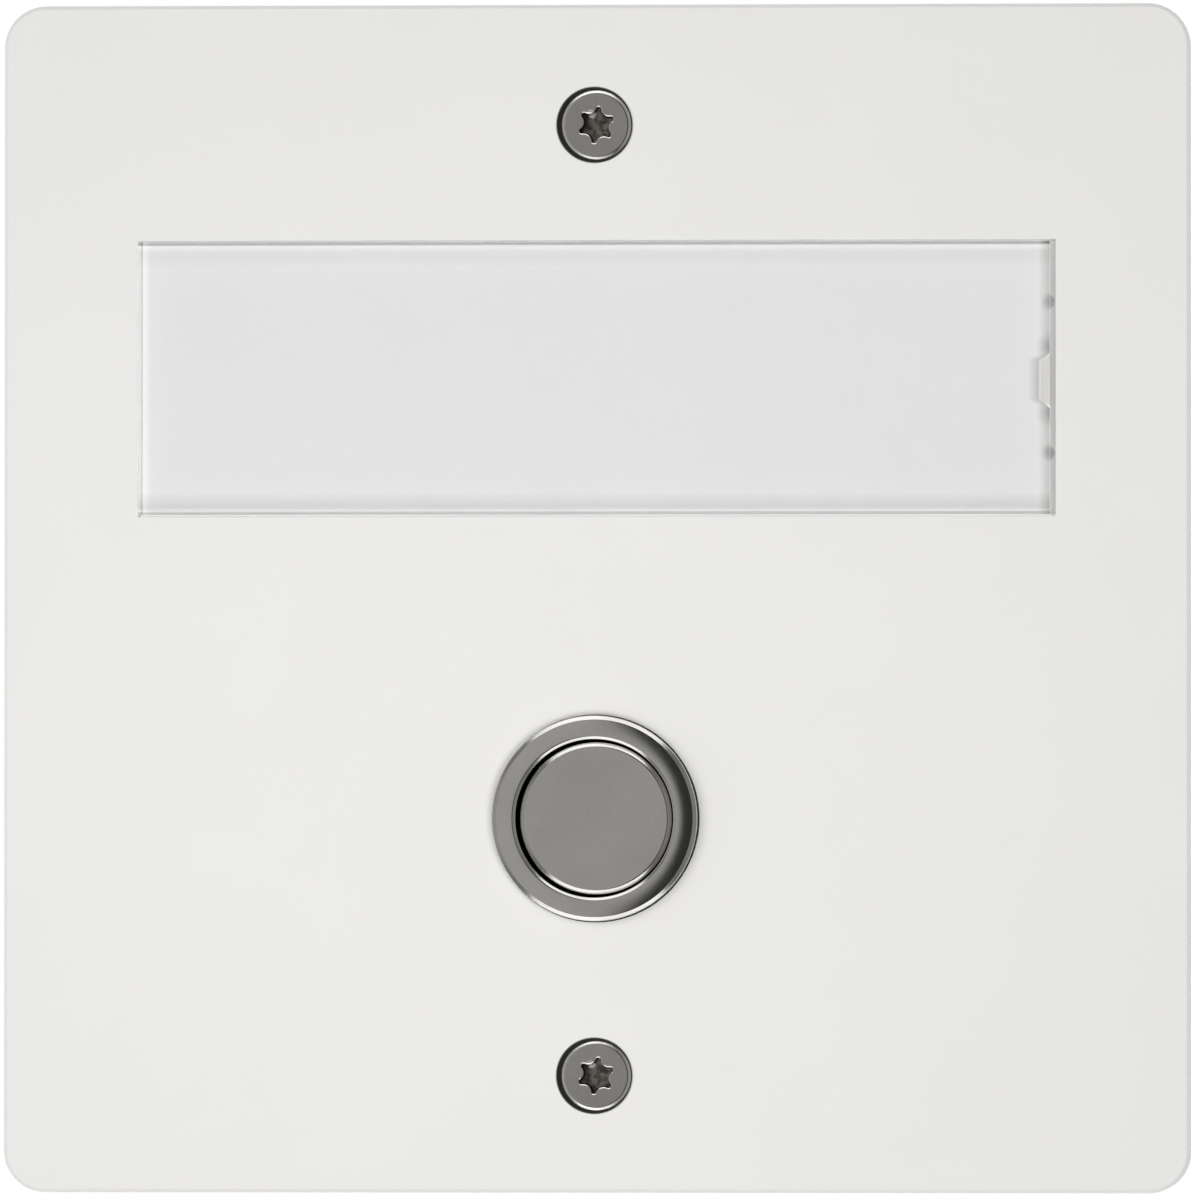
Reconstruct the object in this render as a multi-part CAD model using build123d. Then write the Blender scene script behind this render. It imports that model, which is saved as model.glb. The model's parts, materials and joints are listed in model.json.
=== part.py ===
from build123d import *
from math import radians, tan
import os

# Wireless bell push: a coated metal plate with a name window and a turned push button, screwed
# to a shallow wall box. The radio sender hangs on the back of the plate.
# Sizes are in millimetres. Every piece is drawn lying on its back, with X to the right, Y up the
# plate and Z out of the wall, and the wall at Z = 0. stand_up() then turns it to face -Y.

# Face layout, from the top edge down
window_width = 65.8
window_height = 19.8
window_side_margin = 9.6
top_screw_edge = 8.6
bottom_screw_edge = 8.35
screw_to_window = 8.25
window_to_button = 21.6
button_to_screw = 18.4

# Front plate
plate_thickness = 3.0
plate_corner_radius = 3.0
plate_front_chamfer = 0.25
plate_back_chamfer = 0.15

# Plate screws, M3 with a size 10 six-lobe recess
screw_diameter = 3.0
screw_hole_clearance = 0.2
screw_head_diameter = 5.05
screw_head_clearance = 0.19
screw_bevel = 0.25
screw_bevel_slope = 24.0
screw_recess = 0.15
screw_seat_gap = 0.02
screw_length = 8.0
screw_end_gap = 0.4
lobe_count = 6
lobe_diameter = 2.8
lobe_flute_diameter = 1.98
lobe_flute_radius = 0.6
lobe_depth = 1.2
lobe_angle = 22.0

# Name window, its card and the tray behind it
window_thickness = 1.2
window_gap = 0.06
window_lower_gap = 0.15
window_pull_gap = 0.4
nub_play = 0.05
nub_length = 1.1
nub_spacing = 10.8
notch_depth = 0.75
notch_mouth = 3.95
notch_floor = 2.65
notch_round = 0.15
notch_drop = 0.2
card_thickness = 0.35
card_gap = 0.05
card_play = 0.05
tape_thickness = 0.2
tape_inset = 0.3
tray_flange = 2.2
tray_wall = 1.4
tray_seat_gap = 0.05
tray_corner_radius = 1.5

# Push button
cap_diameter = 10.9
cap_gap = 0.2
cap_bevel = 0.33
cap_thickness = 2.0
cap_recess = 0.2
button_travel = 1.0
travel_clearance = 0.3
barrel_wall = 0.7
flange_overlap = 1.0
flange_height = 1.7
flange_bevel = 0.3
ring_bevel = 0.22
ring_fall = 0.09
bevel_slope = 29.0
barrel_hole_clearance = 0.1
gasket_thickness = 0.3
gasket_overhang = 0.08
washer_thickness = 0.6
washer_overlap = 1.5
nut_thickness = 2.5
nut_wall = 1.65
nut_chamfer = 0.4
nut_clearance = 0.02
stem_diameter = 4.0
stem_clearance = 0.05
spring_wire = 0.5
spring_inner_gap = 1.2
spring_outer_gap = 0.3
spring_room = 3.7
spring_turns = 3.5
spring_end_gap = 0.03
guide_thickness = 1.6
clip_thickness = 0.6
clip_width = 1.6
clip_groove = 0.4
clip_mouth = 2.4
clip_play = 0.02
stem_land = 0.6
carrier_thickness = 0.8
carrier_wall = 0.5
carrier_overlap = 1.3
tenon_diameter = 2.4
press_gap = 0.02
bridge_thickness = 0.4
bridge_rim = 0.3
contact_gap = 0.05
contact_height = 0.75
contact_width = 2.2
terminal_width = 1.6
terminal_thickness = 0.6
terminal_spacing = 5.0
terminal_tail = 1.2
terminal_play = 0.1
base_plug = 1.6
base_flange = 1.0
rear_wall = 1.05

# Radio sender
board_thickness = 1.6
board_corner_radius = 1.5
board_edge = 3.5
board_below_button = 10.5
post_diameter = 5.0
post_above_edge = 3.0
post_rib = 1.0
post_rib_reach = 1.6
board_screw_diameter = 2.0
board_screw_play = 0.2
board_screw_length = 6.0
board_screw_head = 4.0
board_screw_head_height = 1.5
board_screw_slot = 0.6
part_spacing = 0.6
chip_width = 3.9
chip_length = 4.9
chip_height = 1.5
chip_lead_pitch = 1.27
chip_lead_width = 0.4
chip_lead_reach = 1.05
chip_lead_count = 4
chip_lead_thickness = 0.2
resonator_length = 11.0
resonator_width = 4.6
resonator_height = 3.5
resonator_chamfer = 0.4
chip_part_length = 2.0
chip_part_width = 1.25
chip_part_height = 0.6
chip_part_pitch = 2.6
chip_part_count = 3
antenna_strip = 0.5
antenna_width = 2.0
antenna_length = 28.0
antenna_height = 3.0
antenna_edge = 1.2

# Coin cell and its holder
cell_diameter = 20.0
cell_thickness = 3.2
cell_edge_chamfer = 0.4
cell_step = 0.3
cell_step_width = 1.4
cell_play = 0.2
holder_wall = 1.4
holder_floor = 0.8
holder_lip = 2.2
holder_mouth = 13.0
holder_to_terminal = 2.0
cell_contact_thickness = 0.3
cell_contact_width = 4.0
cell_clip_thickness = 0.4
cell_clip_width = 5.0
cell_clip_gap = 0.3

# Wall box
box_inset = 2.0
box_wall = 2.0
box_floor = 2.0
box_corner_radius = 4.0
box_back_chamfer = 0.8
box_draft = 1.0
floor_clearance = 1.1
seal_thickness = 1.0
seal_inset = 0.3
back_land = 4.0
back_hollow = 0.6
boss_wall = 1.5
boss_web = 2.4
insert_diameter = 4.2
insert_length = 5.0
insert_gap = 0.05
slot_width = 4.5
slot_length = 8.0
slot_spacing = 60.0
slot_pad = 2.5

# Places on the face
plate_width = window_width + 2 * window_side_margin
plate_height = (
    top_screw_edge
    + screw_to_window
    + window_height
    + window_to_button
    + button_to_screw
    + bottom_screw_edge
)
top_screw_y = plate_height / 2 - top_screw_edge
bottom_screw_y = bottom_screw_edge - plate_height / 2
window_top = top_screw_y - screw_to_window
window_y = window_top - window_height / 2
window_bottom = window_top - window_height
button_y = window_bottom - window_to_button

# Heights from the wall outwards: the cell, the board, the switch, then the plate
clip_back = box_floor + floor_clearance
cell_back = clip_back + cell_clip_thickness
cell_front = cell_back + cell_thickness
holder_seat = cell_front + cell_contact_thickness
board_back = holder_seat + holder_floor
board_front = board_back + board_thickness
barrel_end = board_front + base_flange
base_top = barrel_end + base_plug
contact_top = base_top + contact_height
bridge_back = contact_top + contact_gap + button_travel
bridge_front = bridge_back + bridge_thickness
stem_step = bridge_front + carrier_thickness
stem_clip_back = stem_step + stem_land
guide_back = stem_clip_back + clip_thickness
guide_front = guide_back + guide_thickness
pocket_floor = guide_front + spring_room
cap_back = pocket_floor + travel_clearance + button_travel
cap_front = cap_back + cap_thickness
ring_top = cap_front + cap_recess
flange_back = ring_top - flange_height
plate_front = flange_back - gasket_thickness
plate_back = plate_front - plate_thickness
box_rim = plate_back - seal_thickness
screw_top = plate_front - screw_recess
screw_head_edge = screw_top - screw_bevel * tan(radians(screw_bevel_slope))
tray_front = plate_back - tape_thickness
tray_back = tray_front - tray_wall
window_back = plate_front - window_thickness
card_seat = window_back - card_gap - card_thickness
seat_back = card_seat - tray_wall
washer_back = plate_back - washer_thickness
nut_back = washer_back - nut_thickness

# Radii of the turned pieces
cap_radius = cap_diameter / 2
pocket_radius = cap_radius + cap_gap
barrel_radius = pocket_radius + barrel_wall
flange_radius = barrel_radius + flange_overlap
button_hole_radius = barrel_radius + barrel_hole_clearance
rear_radius = barrel_radius - rear_wall
stem_radius = stem_diameter / 2
guide_radius = stem_radius + stem_clearance
spring_path_radius = stem_radius + spring_inner_gap + spring_wire / 2
spring_pocket_radius = spring_path_radius + spring_wire / 2 + spring_outer_gap
groove_radius = stem_radius - clip_groove
tenon_radius = tenon_diameter / 2
sleeve_inner_radius = tenon_radius + press_gap
sleeve_radius = sleeve_inner_radius + carrier_wall
carrier_radius = sleeve_radius + carrier_overlap
bridge_radius = terminal_spacing / 2 + contact_width / 2 + bridge_rim
screw_radius = screw_diameter / 2
screw_head_radius = screw_head_diameter / 2
insert_radius = insert_diameter / 2
insert_bore_radius = screw_radius + insert_gap

# Places on the board
cell_radius = cell_diameter / 2
holder_bore_radius = cell_radius + cell_play
holder_radius = holder_bore_radius + holder_wall
cell_y = button_y + terminal_width / 2 + holder_to_terminal + holder_radius
clip_half_span = holder_radius + cell_clip_gap + cell_clip_thickness
post_x = clip_half_span + part_spacing + board_screw_head / 2
post_y = window_bottom + post_above_edge
board_half_width = post_x + board_edge
board_top = max(post_y + board_edge, cell_y + holder_radius + part_spacing)
board_bottom = button_y - board_below_button
chip_x = barrel_radius + part_spacing + chip_lead_reach + chip_width / 2
resonator_x = barrel_radius + part_spacing + resonator_width / 2


def stand_up(piece):
    """Turn a piece drawn on its back so that it faces -Y, with Z up."""
    return Plane.XZ.location * piece


def at_button(piece):
    """Move a piece drawn about the origin onto the axis of the push button."""
    return Pos(0, button_y, 0) * piece


def plate_of(face, bottom, top):
    """Raise a flat outline from one height to another."""
    return Pos(0, 0, bottom) * extrude(face, top - bottom)


def disc(radius, bottom, top):
    """A plain round disc about the Z axis."""
    return plate_of(Circle(radius), bottom, top)


def ring(outer, inner, bottom, top):
    """A round disc with a round hole."""
    return plate_of(Circle(outer) - Circle(inner), bottom, top)


def turned(*points):
    """Turn a closed outline of (radius, height) points about the Z axis."""
    return revolve(Plane.XZ * make_face(Polyline(*points, close=True)), Axis.Z)


def bevel_drop(width):
    """How far a polished bevel of the push button falls over this width."""
    return width * tan(radians(bevel_slope))


def both_screws(piece):
    """Two copies of a piece, at the top and the bottom plate screw."""
    return [Pos(0, screw_y, 0) * piece for screw_y in (top_screw_y, bottom_screw_y)]


def both_posts(piece):
    """Two copies of a piece, at the left and the right board post."""
    return [Pos(side * post_x, post_y, 0) * piece for side in (-1, 1)]


# Front plate


def sunk_screw_hole():
    """The cutter for one plate screw: a straight mouth, a 90 degree seat and a through hole."""
    mouth = screw_head_radius + screw_head_clearance
    through = screw_radius + screw_hole_clearance
    seat_top = screw_head_edge + screw_head_clearance - screw_seat_gap
    seat_bottom = seat_top - (mouth - through)
    above = plate_front + plate_thickness
    below = plate_back - plate_thickness
    return turned(
        (0, below), (through, below), (through, seat_bottom), (mouth, seat_top), (mouth, above), (0, above)
    )


def window_opening(grow):
    """Outline of the window opening, grown on every side."""
    return Pos(0, window_y) * Rectangle(window_width + 2 * grow, window_height + 2 * grow)


def front_plate():
    outline = RectangleRounded(plate_width, plate_height, plate_corner_radius)
    plate = plate_of(outline, plate_back, plate_front)
    plate = chamfer(plate.faces().sort_by(Axis.Z)[-1].edges(), plate_front_chamfer)
    plate = chamfer(plate.faces().sort_by(Axis.Z)[0].edges(), plate_back_chamfer)
    button_hole = Pos(0, button_y) * Circle(button_hole_radius)
    plate -= plate_of(window_opening(0) + button_hole, plate_back, plate_front)
    return plate - both_screws(sunk_screw_hole())


def six_lobe_outline():
    """The six-lobe recess of a screw: a round with six flutes cut in."""
    flute_centre = lobe_flute_diameter / 2 + lobe_flute_radius
    between_lobes = lobe_angle + 180 / lobe_count
    flutes = PolarLocations(flute_centre, lobe_count, start_angle=between_lobes) * Circle(lobe_flute_radius)
    return Circle(lobe_diameter / 2) - flutes


def plate_screws():
    neck = screw_head_edge - (screw_head_radius - screw_radius)
    tip = screw_top - screw_length
    screw = turned(
        (0, screw_top),
        (screw_head_radius - screw_bevel, screw_top),
        (screw_head_radius, screw_head_edge),
        (screw_radius, neck),
        (screw_radius, tip),
        (0, tip),
    )
    screw -= plate_of(six_lobe_outline(), screw_top - lobe_depth, screw_top)
    return Compound(both_screws(screw))


# Name window


def inside_window(side_gap, lower_gap, right_gap):
    """Rectangle in the window opening, with one gap at its left and top and others elsewhere."""
    size = (window_width - side_gap - right_gap, window_height - side_gap - lower_gap)
    return Pos((side_gap - right_gap) / 2, window_y + (lower_gap - side_gap) / 2) * Rectangle(*size)


def name_window():
    """Clear insert, flush with the plate, with two snap nubs and a pry notch on its right edge."""
    right = window_width / 2 - window_pull_gap
    outline = inside_window(window_gap, window_lower_gap, window_pull_gap)
    nub_reach = window_pull_gap - nub_play
    nub_radius = (nub_length**2 / 4 + nub_reach**2) / (2 * nub_reach)
    for side in (1, -1):
        nub_y = window_y + side * nub_spacing / 2
        outline += Pos(right + nub_reach - nub_radius, nub_y) * Circle(nub_radius)
    notch = make_face(
        Polyline(
            (right + notch_depth, notch_mouth / 2),
            (right, notch_mouth / 2),
            (right - notch_depth, notch_floor / 2),
            (right - notch_depth, -notch_floor / 2),
            (right, -notch_mouth / 2),
            (right + notch_depth, -notch_mouth / 2),
            close=True,
        )
    )
    notch = Pos(0, window_y - notch_drop) * fillet(notch.vertices().group_by(Axis.X)[0], notch_round)
    return plate_of(outline - notch, window_back, plate_front)


def name_card():
    """Blank card behind the insert."""
    card = inside_window(window_gap + card_play, window_lower_gap + card_play, window_pull_gap + card_play)
    return plate_of(card, card_seat, card_seat + card_thickness)


def tray_outline():
    size = (window_width + 2 * tray_flange, window_height + 2 * tray_flange)
    return Pos(0, window_y) * RectangleRounded(*size, tray_corner_radius)


def window_tray():
    """Moulded tray: a hollow seat that lifts the card into the opening, and two posts for the board.

    Each post has three ribs, and its fourth side runs into the wall of the seat.
    """
    tray = plate_of(tray_outline(), tray_back, tray_front)
    tray += plate_of(window_opening(-tray_seat_gap), tray_back, card_seat)
    tray -= plate_of(window_opening(-tray_seat_gap - tray_wall), tray_back, seat_back)
    post_radius = post_diameter / 2
    rib_height = (seat_back - board_front) / 2
    rib_corners = ((0, seat_back), (post_radius + post_rib_reach, seat_back), (0, seat_back - rib_height))
    rib = Plane.XZ * make_face(Polyline(*rib_corners, close=True))
    post = disc(post_radius, board_front, seat_back)
    for turn in (0, 90, 180):
        post += Rot(0, 0, turn) * extrude(rib, post_rib / 2, both=True)
    pilot_depth = board_screw_length - board_thickness + part_spacing
    pilot = disc(board_screw_diameter / 2 + press_gap, board_front, board_front + pilot_depth)
    return tray + both_posts(post) - both_posts(pilot)


def tray_tape():
    frame = offset(tray_outline(), -tape_inset) - window_opening(tape_inset)
    return plate_of(frame, tray_front, plate_back)


# Push button


def button_bezel():
    """Turned collar and barrel: crowned ring, cap pocket, spring pocket, stem guide, rear bore."""
    ring_inner = pocket_radius + ring_bevel
    ring_outer = flange_radius - flange_bevel
    ring_edge = ring_top - ring_fall
    crown = TangentArc((ring_inner, ring_top), (ring_outer, ring_edge), tangent=(1, 0))
    sides = Polyline(
        (ring_outer, ring_edge),
        (flange_radius, ring_edge - bevel_drop(flange_bevel)),
        (flange_radius, flange_back),
        (barrel_radius, flange_back),
        (barrel_radius, barrel_end),
        (rear_radius, barrel_end),
        (rear_radius, guide_back),
        (guide_radius, guide_back),
        (guide_radius, guide_front),
        (spring_pocket_radius, guide_front),
        (spring_pocket_radius, pocket_floor),
        (pocket_radius, pocket_floor),
        (pocket_radius, ring_top - bevel_drop(ring_bevel)),
        (ring_inner, ring_top),
    )
    return at_button(revolve(Plane.XZ * make_face([crown, sides]), Axis.Z))


def button_cap():
    """Turned push cap: a bevelled disc on a stem with a clip groove and a tenon at its end."""
    cap = turned(
        (0, cap_front),
        (cap_radius - cap_bevel, cap_front),
        (cap_radius, cap_front - bevel_drop(cap_bevel)),
        (cap_radius, cap_back),
        (stem_radius, cap_back),
        (stem_radius, guide_back),
        (groove_radius, guide_back),
        (groove_radius, stem_clip_back),
        (stem_radius, stem_clip_back),
        (stem_radius, stem_step),
        (tenon_radius, stem_step),
        (tenon_radius, bridge_back),
        (0, bridge_back),
    )
    return at_button(cap)


def bezel_gasket():
    """Rubber washer that shows as a thin line round the foot of the collar."""
    return at_button(ring(flange_radius + gasket_overhang, button_hole_radius, plate_front, flange_back))


def lock_washer():
    return at_button(ring(button_hole_radius + washer_overlap, button_hole_radius, washer_back, plate_back))


def bezel_nut():
    """Thin hexagon nut, its corners turned off at the back face."""
    across_flats = barrel_radius + nut_wall
    hexagon = plate_of(RegularPolygon(across_flats, 6, major_radius=False), nut_back, washer_back)
    corner = across_flats + nut_chamfer
    blank = disc(corner, nut_back, washer_back)
    blank = chamfer(blank.faces().sort_by(Axis.Z)[0].edges(), nut_chamfer)
    return at_button((hexagon & blank) - disc(barrel_radius + nut_clearance, nut_back, washer_back))


def return_spring():
    """Coil spring between the stem guide and the back of the cap, at its rest length.

    The wire is drawn with four flats, which keeps the coil light.
    """
    bottom = guide_front + spring_end_gap + spring_wire / 2
    top = cap_back - spring_end_gap - spring_wire / 2
    coil = Pos(0, 0, bottom) * Helix((top - bottom) / spring_turns, top - bottom, spring_path_radius)
    wire = Plane(coil @ 0, z_dir=coil % 0) * RegularPolygon(spring_wire / 2, 4)
    return at_button(sweep(wire, coil, is_frenet=True))


def stem_clip():
    """Open retaining clip in the groove of the stem."""
    inner = groove_radius + clip_play
    clip = ring(stem_radius + clip_width, inner, stem_clip_back, guide_back)
    mouth = Pos(stem_radius + clip_width, 0) * Rectangle(2 * (stem_radius + clip_width), clip_mouth)
    return at_button(clip - plate_of(mouth, stem_clip_back, guide_back))


def contact_carrier():
    """Insulating bush on the tenon: a collar against the step and a sleeve through the bridge."""
    collar = ring(carrier_radius, sleeve_inner_radius, bridge_front, stem_step)
    return at_button(collar + ring(sleeve_radius, sleeve_inner_radius, bridge_back, bridge_front))


def contact_bridge():
    return at_button(ring(bridge_radius, sleeve_radius + press_gap, bridge_back, bridge_front))


def both_terminals(piece):
    """Two copies of a piece, at the left and the right terminal of the switch."""
    return [Pos(side * terminal_spacing / 2, 0, 0) * piece for side in (-1, 1)]


def terminal_slots(bottom, top):
    size = (terminal_thickness + 2 * terminal_play, terminal_width + 2 * terminal_play)
    return both_terminals(plate_of(Rectangle(*size), bottom, top))


def switch_base():
    """Insulating plug that closes the barrel, with a flange against its end."""
    plug = disc(rear_radius - press_gap, barrel_end, base_top) + disc(barrel_radius, board_front, barrel_end)
    return at_button(plug - terminal_slots(board_front, base_top))


def switch_terminals():
    """Two flat blades: a square contact head inside the switch, a tail through the board."""
    blade = plate_of(Rectangle(terminal_thickness, terminal_width), board_back - terminal_tail, base_top)
    blade += plate_of(Rectangle(contact_width, contact_width), base_top, contact_top)
    return at_button(Compound(both_terminals(blade)))


# Radio sender


def circuit_board():
    centre = Pos(0, (board_top + board_bottom) / 2)
    outline = centre * RectangleRounded(2 * board_half_width, board_top - board_bottom, board_corner_radius)
    board = plate_of(outline, board_back, board_front)
    board -= [at_button(slot) for slot in terminal_slots(board_back, board_front)]
    return board - both_posts(disc(board_screw_diameter / 2 + board_screw_play, board_back, board_front))


def board_screws():
    """Two slotted cheese-head screws that hold the board to the posts of the tray."""
    head_back = board_back - board_screw_head_height
    head = disc(board_screw_head / 2, head_back, board_back)
    slot = plate_of(Rectangle(board_screw_head, board_screw_slot), head_back, head_back + board_screw_slot)
    shank = disc(board_screw_diameter / 2, board_back, board_back + board_screw_length)
    return Compound(both_posts(head - slot + shank))


def radio_chip():
    """Eight-lead sender chip on the front of the board, left of the switch."""
    lift = chip_lead_thickness
    shoulder = board_front + chip_height / 2
    body = plate_of(Rectangle(chip_width, chip_length), board_front + lift, board_front + chip_height)
    lead_side = (
        (0, shoulder),
        (chip_lead_reach / 2, shoulder),
        (chip_lead_reach / 2, board_front + lift),
        (chip_lead_reach, board_front + lift),
        (chip_lead_reach, board_front),
        (chip_lead_reach / 2 - lift, board_front),
        (chip_lead_reach / 2 - lift, shoulder - lift),
        (0, shoulder - lift),
    )
    lead = extrude(Plane.XZ * make_face(Polyline(*lead_side, close=True)), chip_lead_width / 2, both=True)
    for turn in (0, 180):
        for place in GridLocations(0, chip_lead_pitch, 1, chip_lead_count):
            body += Rot(0, 0, turn) * (place * (Pos(chip_width / 2, 0, 0) * lead))
    return Pos(-chip_x, button_y, 0) * body


def resonator():
    """Oval metal can on the front of the board, right of the switch."""
    outline = SlotOverall(resonator_length, resonator_width, 90)
    can = plate_of(outline, board_front, board_front + resonator_height)
    can = chamfer(can.faces().sort_by(Axis.Z)[-1].edges(), resonator_chamfer)
    return Pos(resonator_x, button_y, 0) * can


def chip_parts():
    """Rows of small chip parts on both sides of the switch."""
    block = plate_of(
        Rectangle(chip_part_length, chip_part_width), board_front, board_front + chip_part_height
    )
    row_y = button_y + max(resonator_length, chip_length) / 2 + part_spacing + chip_part_width
    places = [
        Pos(side * (barrel_radius + part_spacing + chip_part_length / 2), row_y + step * chip_part_pitch, 0)
        for side in (-1, 1)
        for step in range(chip_part_count)
    ]
    return Compound([place * block for place in places])


def bridge_strip(outer, inner, back, step, front):
    """Side outline of a strip bent like a staple: two legs to the board and a bar behind it."""
    return Plane.XZ * make_face(
        Polyline(
            (-outer, front),
            (-outer, back),
            (outer, back),
            (outer, front),
            (inner, front),
            (inner, step),
            (-inner, step),
            (-inner, front),
            close=True,
        )
    )


def loop_antenna():
    """Bent strip along the lower edge of the board, both feet soldered to its back."""
    half = antenna_length / 2
    back = board_back - antenna_height
    middle = board_bottom + antenna_edge + antenna_width / 2
    strip = bridge_strip(half, half - antenna_strip, back, back + antenna_strip, board_back)
    return Pos(0, middle, 0) * extrude(strip, antenna_width / 2, both=True)


# Coin cell and its holder


def at_cell(piece):
    return Pos(0, cell_y, 0) * piece


def cell_holder():
    """Moulded cup on the back of the board, cut open at the top so that the cell slides out."""
    lip_back = cell_front - holder_lip
    cup = disc(holder_radius, lip_back, board_back) - disc(holder_bore_radius, lip_back, holder_seat)
    mouth = Pos(0, holder_radius) * Rectangle(holder_mouth, holder_radius)
    return at_cell(cup - plate_of(mouth, lip_back, holder_seat))


def cell_contact():
    strip = Rectangle(cell_contact_width, 2 * cell_radius - 2 * holder_wall)
    return at_cell(plate_of(strip, cell_front, holder_seat))


def coin_cell():
    """Flat cell: a rounded can towards the box and a smaller cap face towards the board."""
    can = disc(cell_radius, cell_back, cell_front - cell_step)
    can = chamfer(can.faces().sort_by(Axis.Z)[0].edges(), cell_edge_chamfer)
    return at_cell(can + disc(cell_radius - cell_step_width, cell_front - cell_step, cell_front))


def cell_clip():
    """Spring strap over the cell, with a leg down each side of the holder to the board."""
    inner = holder_radius + cell_clip_gap
    strap = bridge_strip(clip_half_span, inner, clip_back, cell_back, board_back)
    return at_cell(extrude(strap, cell_clip_width / 2, both=True))


# Wall box


def box_outline(inset, radius):
    """Outline of the wall box at its rim, drawn in by an inset."""
    size = (plate_width - 2 * (box_inset + inset), plate_height - 2 * (box_inset + inset))
    return RectangleRounded(*size, radius)


def both_slots(outline, bottom, top):
    """An outline raised at the left and the right wall slot."""
    return [Pos(side * slot_spacing / 2, 0, 0) * plate_of(outline, bottom, top) for side in (-1, 1)]


def insert_outline(gap):
    """Outline of a thread insert, which has six flats against turning."""
    return RegularPolygon(insert_radius - gap, 6)


def screw_boss(screw_edge):
    """Boss for one thread insert, up to the back of the plate, with a web to the wall of the box.

    screw_edge is how far the screw is from the edge of the plate.
    """
    to_wall = screw_edge - box_inset - box_wall / 2
    web = Pos(0, to_wall / 2) * Rectangle(boss_web, to_wall)
    boss = disc(insert_radius + boss_wall, box_floor / 2, plate_back) + plate_of(web, box_floor / 2, box_rim)
    bore_bottom = screw_top - screw_length - screw_end_gap
    return boss - plate_of(insert_outline(0), bore_bottom, plate_back)


def back_box():
    """Moulded wall box: drafted walls, a back hollowed inside its rim, two bosses, two slots."""
    box = Pos(0, 0, box_rim) * extrude(
        box_outline(0, box_corner_radius), box_rim, dir=(0, 0, -1), taper=box_draft
    )
    box = chamfer(box.faces().sort_by(Axis.Z)[0].edges(), box_back_chamfer)
    box -= plate_of(box_outline(box_wall, box_corner_radius - box_wall), box_floor, box_rim)
    hollow_inset = box_inset + box_wall + back_land
    hollow = Rectangle(plate_width - 2 * hollow_inset, plate_height - 2 * hollow_inset)
    pad = Rectangle(slot_length + 2 * slot_pad, slot_width + 2 * slot_pad)
    box -= plate_of(hollow, 0, back_hollow) - both_slots(pad, 0, back_hollow)
    box += Pos(0, top_screw_y, 0) * screw_boss(top_screw_edge)
    box += Pos(0, bottom_screw_y, 0) * (Rot(0, 0, 180) * screw_boss(bottom_screw_edge))
    return box - both_slots(SlotOverall(slot_length, slot_width), 0, box_floor)


def box_seal():
    outer = box_outline(seal_inset, box_corner_radius - seal_inset)
    inner = box_outline(box_wall - seal_inset, box_corner_radius - box_wall + seal_inset)
    frame = outer - inner
    return plate_of(frame, box_rim, plate_back)


def thread_inserts():
    """Two brass inserts, pressed into the bosses."""
    outline = insert_outline(press_gap) - Circle(insert_bore_radius)
    return Compound(both_screws(plate_of(outline, plate_back - insert_length, plate_back)))


PIECES = [
    front_plate,
    plate_screws,
    name_window,
    name_card,
    window_tray,
    tray_tape,
    button_bezel,
    button_cap,
    bezel_gasket,
    lock_washer,
    bezel_nut,
    return_spring,
    stem_clip,
    contact_carrier,
    contact_bridge,
    switch_base,
    switch_terminals,
    circuit_board,
    board_screws,
    radio_chip,
    resonator,
    chip_parts,
    loop_antenna,
    cell_holder,
    cell_contact,
    coin_cell,
    cell_clip,
    back_box,
    box_seal,
    thread_inserts,
]

os.makedirs("parts", exist_ok=True)
for piece in PIECES:
    export_step(stand_up(piece()), f"parts/{piece.__name__}.step")
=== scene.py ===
import json
import math
from collections import namedtuple

import bmesh
import bpy
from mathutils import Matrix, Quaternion, Vector


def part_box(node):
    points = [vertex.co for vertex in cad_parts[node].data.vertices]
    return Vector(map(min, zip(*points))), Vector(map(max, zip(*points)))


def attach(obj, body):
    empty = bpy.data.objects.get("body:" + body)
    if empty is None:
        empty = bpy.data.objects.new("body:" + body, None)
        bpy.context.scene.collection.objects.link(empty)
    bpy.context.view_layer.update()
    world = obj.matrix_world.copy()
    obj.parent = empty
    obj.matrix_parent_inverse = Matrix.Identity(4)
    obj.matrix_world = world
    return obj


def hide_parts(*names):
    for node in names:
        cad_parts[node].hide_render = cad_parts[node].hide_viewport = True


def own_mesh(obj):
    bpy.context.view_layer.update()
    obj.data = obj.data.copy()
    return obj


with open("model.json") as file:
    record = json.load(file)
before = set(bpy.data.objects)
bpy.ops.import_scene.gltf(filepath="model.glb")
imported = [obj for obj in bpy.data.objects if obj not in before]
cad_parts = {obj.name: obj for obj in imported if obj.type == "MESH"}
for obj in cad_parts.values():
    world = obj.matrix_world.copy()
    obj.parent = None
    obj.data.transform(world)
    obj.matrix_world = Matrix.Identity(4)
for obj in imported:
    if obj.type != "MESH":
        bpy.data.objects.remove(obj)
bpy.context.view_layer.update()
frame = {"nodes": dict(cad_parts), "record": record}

# Wireless bell push, standing upright with its face towards -Y and the wall plane at Y = 0.
# The frame is in metres. Sizes below are in millimetres unless a name says otherwise.
MM = 0.001

# Camera, fitted to the photograph
camera_distance = 1300.0
camera_aim = Vector((-0.03, -23.0, -0.12))
camera_azimuth = 3.60
camera_elevation = -1.13
camera_roll = 0.02
camera_lens = 545.2
camera_sensor = 36.0
camera_near = 50.0
camera_far = 20000.0

# Floor
floor_drop = 120.0
floor_half_width = 1200.0
floor_glow = 0.3
floor_roughness = 0.9

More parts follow.
